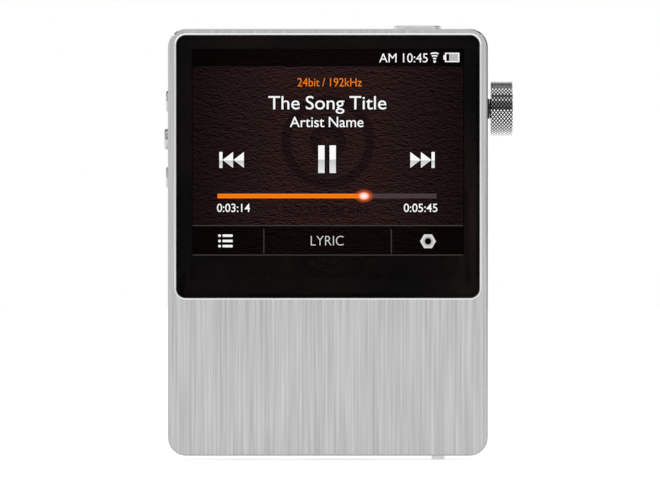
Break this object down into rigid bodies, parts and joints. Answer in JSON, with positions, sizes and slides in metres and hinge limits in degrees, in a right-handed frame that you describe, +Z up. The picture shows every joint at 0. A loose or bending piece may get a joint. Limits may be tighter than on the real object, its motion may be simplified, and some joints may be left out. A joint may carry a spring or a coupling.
{
  "type": "digital audio player",
  "caption": "Pocket digital audio player: brushed aluminium slab with a glass screen window, side volume knob, round side keys, top power key, jacks and a sliding card door.",
  "frame": {"origin": "centre of the rear glass's outer face", "axes": "+Z up along the player's height as its screen is read, +X to the right seen from the screen side, the screen faces -Y"},
  "size_m": [0.0647, 0.0144, 0.0807],
  "materials": {
    "body_aluminium": "brushed along its height, clear anodised",
    "window_glass": "polished flat, bevelled rim",
    "touch_film": "clear film",
    "black_print": "opaque print on the back of the glass",
    "black_tape": "thin foam adhesive",
    "display_glass": "liquid crystal cell, unlit edge",
    "white_diffuser": "diffusing sheets in a white frame",
    "sheet_steel": "tinned, folded",
    "flex_film": "amber ribbon",
    "frame_alloy": "die cast, matt",
    "screw_steel": "black oxide",
    "circuit_board": "solder mask on glass fibre",
    "chip_resin": "moulded resin",
    "capacitor_film": "dipped",
    "ferrite": "sintered",
    "module_steel": "tinned lid",
    "battery_foil": "laminated pouch",
    "lead_sleeve": "insulated wire",
    "white_nylon": "moulded connector",
    "knob_chrome": "diamond knurl with a dished end",
    "shaft_steel": "ground",
    "rotor_resin": "moulded",
    "encoder_resin": "moulded",
    "bushing_metal": "dark nickel plated",
    "solder_metal": "gold plated, tinned",
    "switch_metal": "folded case, round button",
    "key_aluminium": "turned, with a polished edge",
    "jack_resin": "moulded socket",
    "ring_metal": "turned and gold plated",
    "door_metal": "fine blasted",
    "track_resin": "moulded track",
    "rear_black_glass": "polished, printed black on its inner face"
  },
  "bodies": {
    "casing": {"housing": "body_aluminium", "front_glass": "window_glass", "touch_panel": "touch_film", "glass_border_print": "black_print", "window_tape": "black_tape", "rear_tape": "black_tape", "battery_pad": "black_tape", "display_cell": "display_glass", "backlight": "white_diffuser", "display_shield": "sheet_steel", "digital_shield_can": "sheet_steel", "analog_shield_can": "sheet_steel", "side_key_bracket": "sheet_steel", "usb_shell": "sheet_steel", "front_card_socket": "sheet_steel", "rear_card_socket": "sheet_steel", "display_flex": "flex_film", "chassis": "frame_alloy", "rear_cover": "frame_alloy", "chassis_screws": "screw_steel", "board_screws": "screw_steel", "rear_cover_screws": "screw_steel", "main_board": "circuit_board", "side_key_board": "circuit_board", "processor_chip": "chip_resin", "memory_chips": "chip_resin", "converter_chip": "chip_resin", "amplifier_chip": "chip_resin", "filter_capacitors": "capacitor_film", "power_chokes": "ferrite", "wireless_module": "module_steel", "battery": "battery_foil", "battery_leads": "lead_sleeve", "battery_plug": "white_nylon", "flex_socket": "white_nylon", "encoder_case": "encoder_resin", "encoder_bushing": "bushing_metal", "encoder_terminals": "solder_metal", "jack_terminals": "solder_metal", "side_key_switches": "switch_metal", "power_switch": "switch_metal", "headphone_jack": "jack_resin", "line_in_jack": "jack_resin", "usb_tongue": "jack_resin", "headphone_jack_ring": "ring_metal", "line_in_jack_ring": "ring_metal", "card_door_track": "track_resin", "rear_glass": "rear_black_glass"},
    "volume_knob_body": {"volume_knob": "knob_chrome", "knob_shaft": "shaft_steel", "encoder_rotor": "rotor_resin"},
    "previous_button": {"previous_key": "key_aluminium"},
    "play_button": {"play_key": "key_aluminium"},
    "next_button": {"next_key": "key_aluminium"},
    "power_button": {"power_key": "key_aluminium"},
    "card_slider": {"card_door": "door_metal", "card_door_knob": "key_aluminium"}
  },
  "joints": [
    {"name": "volume_turn", "type": "hinge", "parent": "casing", "child": "volume_knob_body", "pos_m": [0.0297, -0.0072, 0.02485], "axis": [1, 0, 0], "continuous": true},
    {"name": "previous_press", "type": "slide", "parent": "casing", "child": "previous_button", "axis": [1, 0, 0], "range_m": [0, 0.00035], "stiffness_N_per_m": 600, "springref_m": -0.001},
    {"name": "play_press", "type": "slide", "parent": "casing", "child": "play_button", "axis": [1, 0, 0], "range_m": [0, 0.00035], "stiffness_N_per_m": 600, "springref_m": -0.001},
    {"name": "next_press", "type": "slide", "parent": "casing", "child": "next_button", "axis": [1, 0, 0], "range_m": [0, 0.00035], "stiffness_N_per_m": 600, "springref_m": -0.001},
    {"name": "power_press", "type": "slide", "parent": "casing", "child": "power_button", "axis": [0, 0, -1], "range_m": [0, 0.0004], "stiffness_N_per_m": 800, "springref_m": -0.001},
    {"name": "card_door_slide", "type": "slide", "parent": "casing", "child": "card_slider", "axis": [-1, 0, 0], "range_m": [0, 0.0129]}
  ]
}
